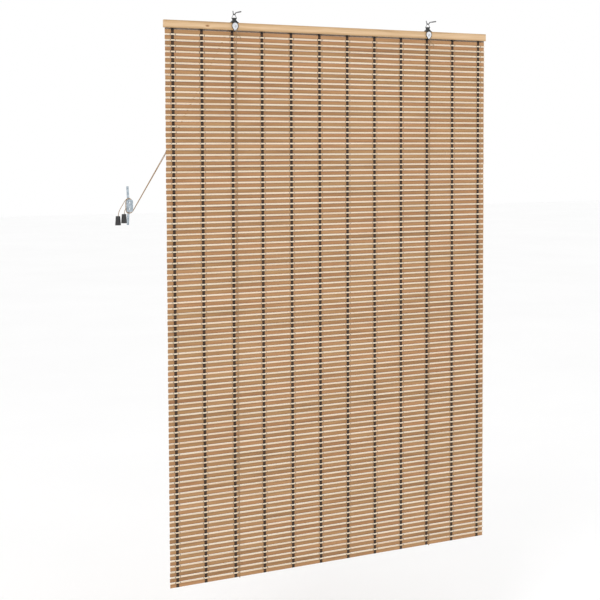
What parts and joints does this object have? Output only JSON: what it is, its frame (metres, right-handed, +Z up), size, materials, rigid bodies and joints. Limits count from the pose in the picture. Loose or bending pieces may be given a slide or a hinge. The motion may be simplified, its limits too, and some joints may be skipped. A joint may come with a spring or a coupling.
{
  "type": "bamboo roll up blind",
  "caption": "Hanging woven bamboo mat blind that rolls up from below on lift cords, with wall hooks, pulleys and a cord cleat.",
  "frame": {"origin": "midway between the two hook shanks, where they enter the wall", "axes": "+Z up, +Y out of the wall into the room, +X to the right as seen from the wall"},
  "size_m": [1.2524, 0.065, 1.6348],
  "materials": {
    "bamboo": "oiled",
    "ribbon": "woven",
    "headrail": "lacquered",
    "cord": "braided",
    "black_pull": "moulded",
    "black_metal": "enamelled",
    "zinc": "zinc plated",
    "nylon": "turned",
    "bright_plate": "polished",
    "steel": "plated"
  },
  "bodies": {
    "wall_fittings": {"left_hook": "steel", "right_hook": "steel", "left_ring": "steel", "right_ring": "steel", "cleat": "zinc", "left_pull": "black_pull", "right_pull": "black_pull", "left_pull_cord": "cord", "right_pull_cord": "cord"},
    "hanger": {"headrail": "headrail", "headrail_staples": "steel", "left_bracket": "black_metal", "right_bracket": "black_metal", "left_face_plate": "bright_plate", "right_face_plate": "bright_plate", "left_axle": "steel", "right_axle": "steel", "axle_nuts": "steel", "right_spacer": "nylon", "left_lift_cord": "cord", "right_lift_cord": "cord", "slats_00": "bamboo", "ribbons_00": "ribbon"},
    "left_inner_wheel": {"left_inner_wheel": "nylon"},
    "left_outer_wheel": {"left_outer_wheel": "nylon"},
    "right_wheel": {"right_wheel": "nylon"},
    "mat_01": {"slats_01": "bamboo", "ribbons_01": "ribbon"},
    "mat_02": {"slats_02": "bamboo", "ribbons_02": "ribbon"},
    "mat_03": {"slats_03": "bamboo", "ribbons_03": "ribbon"},
    "mat_04": {"slats_04": "bamboo", "ribbons_04": "ribbon"},
    "mat_05": {"slats_05": "bamboo", "ribbons_05": "ribbon"},
    "mat_06": {"slats_06": "bamboo", "ribbons_06": "ribbon"},
    "mat_07": {"slats_07": "bamboo", "ribbons_07": "ribbon"},
    "mat_08": {"slats_08": "bamboo", "ribbons_08": "ribbon"},
    "mat_09": {"slats_09": "bamboo", "ribbons_09": "ribbon"},
    "mat_10": {"slats_10": "bamboo", "ribbons_10": "ribbon"},
    "mat_11": {"slats_11": "bamboo", "ribbons_11": "ribbon"},
    "mat_12": {"slats_12": "bamboo", "ribbons_12": "ribbon"},
    "mat_13": {"slats_13": "bamboo", "ribbons_13": "ribbon"},
    "mat_14": {"slats_14": "bamboo", "ribbons_14": "ribbon"},
    "mat_15": {"slats_15": "bamboo", "ribbons_15": "ribbon"},
    "mat_16": {"slats_16": "bamboo", "ribbons_16": "ribbon"},
    "mat_17": {"slats_17": "bamboo", "ribbons_17": "ribbon"}
  },
  "joints": [
    {"name": "blind_swing", "type": "hinge", "parent": "wall_fittings", "child": "hanger", "pos_m": [0, 0.024, -0.01646], "axis": [1, 0, 0], "range_deg": [0, 20], "deforming": ["left_pull_cord", "right_pull_cord"]},
    {"name": "left_inner_wheel_spin", "type": "hinge", "parent": "hanger", "child": "left_inner_wheel", "pos_m": [-0.332, 0.0322, -0.03811], "axis": [0, 1, 0], "continuous": true},
    {"name": "left_outer_wheel_spin", "type": "hinge", "parent": "hanger", "child": "left_outer_wheel", "pos_m": [-0.332, 0.0369, -0.03811], "axis": [0, 1, 0], "continuous": true},
    {"name": "right_wheel_spin", "type": "hinge", "parent": "hanger", "child": "right_wheel", "pos_m": [0.332, 0.0369, -0.03811], "axis": [0, 1, 0], "continuous": true},
    {"name": "roll_up", "type": "hinge", "parent": "hanger", "child": "mat_01", "pos_m": [0, 0.0261, -0.19635], "axis": [1, 0, 0], "range_deg": [0, 90], "deforming": ["left_lift_cord", "right_lift_cord"]},
    {"name": "roll_02", "type": "hinge", "parent": "mat_01", "child": "mat_02", "pos_m": [0, 0.0261, -0.37158], "axis": [1, 0, 0], "range_deg": [0, 90]},
    {"name": "roll_03", "type": "hinge", "parent": "mat_02", "child": "mat_03", "pos_m": [0, 0.0261, -0.54681], "axis": [1, 0, 0], "range_deg": [0, 90]},
    {"name": "roll_04", "type": "hinge", "parent": "mat_03", "child": "mat_04", "pos_m": [0, 0.0261, -0.69018], "axis": [1, 0, 0], "range_deg": [0, 90]},
    {"name": "roll_05", "type": "hinge", "parent": "mat_04", "child": "mat_05", "pos_m": [0, 0.0261, -0.83355], "axis": [1, 0, 0], "range_deg": [0, 90]},
    {"name": "roll_06", "type": "hinge", "parent": "mat_05", "child": "mat_06", "pos_m": [0, 0.0261, -0.94506], "axis": [1, 0, 0], "range_deg": [0, 90]},
    {"name": "roll_07", "type": "hinge", "parent": "mat_06", "child": "mat_07", "pos_m": [0, 0.0261, -1.05657], "axis": [1, 0, 0], "range_deg": [0, 90]},
    {"name": "roll_08", "type": "hinge", "parent": "mat_07", "child": "mat_08", "pos_m": [0, 0.0261, -1.15215], "axis": [1, 0, 0], "range_deg": [0, 90]},
    {"name": "roll_09", "type": "hinge", "parent": "mat_08", "child": "mat_09", "pos_m": [0, 0.0261, -1.2318], "axis": [1, 0, 0], "range_deg": [0, 90]},
    {"name": "roll_10", "type": "hinge", "parent": "mat_09", "child": "mat_10", "pos_m": [0, 0.0261, -1.31145], "axis": [1, 0, 0], "range_deg": [0, 90]},
    {"name": "roll_11", "type": "hinge", "parent": "mat_10", "child": "mat_11", "pos_m": [0, 0.0261, -1.37517], "axis": [1, 0, 0], "range_deg": [0, 90]},
    {"name": "roll_12", "type": "hinge", "parent": "mat_11", "child": "mat_12", "pos_m": [0, 0.0261, -1.43889], "axis": [1, 0, 0], "range_deg": [0, 90]},
    {"name": "roll_13", "type": "hinge", "parent": "mat_12", "child": "mat_13", "pos_m": [0, 0.0261, -1.48668], "axis": [1, 0, 0], "range_deg": [0, 90]},
    {"name": "roll_14", "type": "hinge", "parent": "mat_13", "child": "mat_14", "pos_m": [0, 0.0261, -1.53447], "axis": [1, 0, 0], "range_deg": [0, 90]},
    {"name": "roll_15", "type": "hinge", "parent": "mat_14", "child": "mat_15", "pos_m": [0, 0.0261, -1.56633], "axis": [1, 0, 0], "range_deg": [0, 90]},
    {"name": "roll_16", "type": "hinge", "parent": "mat_15", "child": "mat_16", "pos_m": [0, 0.0261, -1.59819], "axis": [1, 0, 0], "range_deg": [0, 90]},
    {"name": "roll_17", "type": "hinge", "parent": "mat_16", "child": "mat_17", "pos_m": [0, 0.0261, -1.61412], "axis": [1, 0, 0], "range_deg": [0, 90]}
  ],
  "couplings": [
    {"joint": "roll_02", "follows": "roll_up", "ratio": 1},
    {"joint": "roll_03", "follows": "roll_up", "ratio": 1},
    {"joint": "roll_04", "follows": "roll_up", "ratio": 1},
    {"joint": "roll_05", "follows": "roll_up", "ratio": 1},
    {"joint": "roll_06", "follows": "roll_up", "ratio": 1},
    {"joint": "roll_07", "follows": "roll_up", "ratio": 1},
    {"joint": "roll_08", "follows": "roll_up", "ratio": 1},
    {"joint": "roll_09", "follows": "roll_up", "ratio": 1},
    {"joint": "roll_10", "follows": "roll_up", "ratio": 1},
    {"joint": "roll_11", "follows": "roll_up", "ratio": 1},
    {"joint": "roll_12", "follows": "roll_up", "ratio": 1},
    {"joint": "roll_13", "follows": "roll_up", "ratio": 1},
    {"joint": "roll_14", "follows": "roll_up", "ratio": 1},
    {"joint": "roll_15", "follows": "roll_up", "ratio": 1},
    {"joint": "roll_16", "follows": "roll_up", "ratio": 1},
    {"joint": "roll_17", "follows": "roll_up", "ratio": 1}
  ]
}
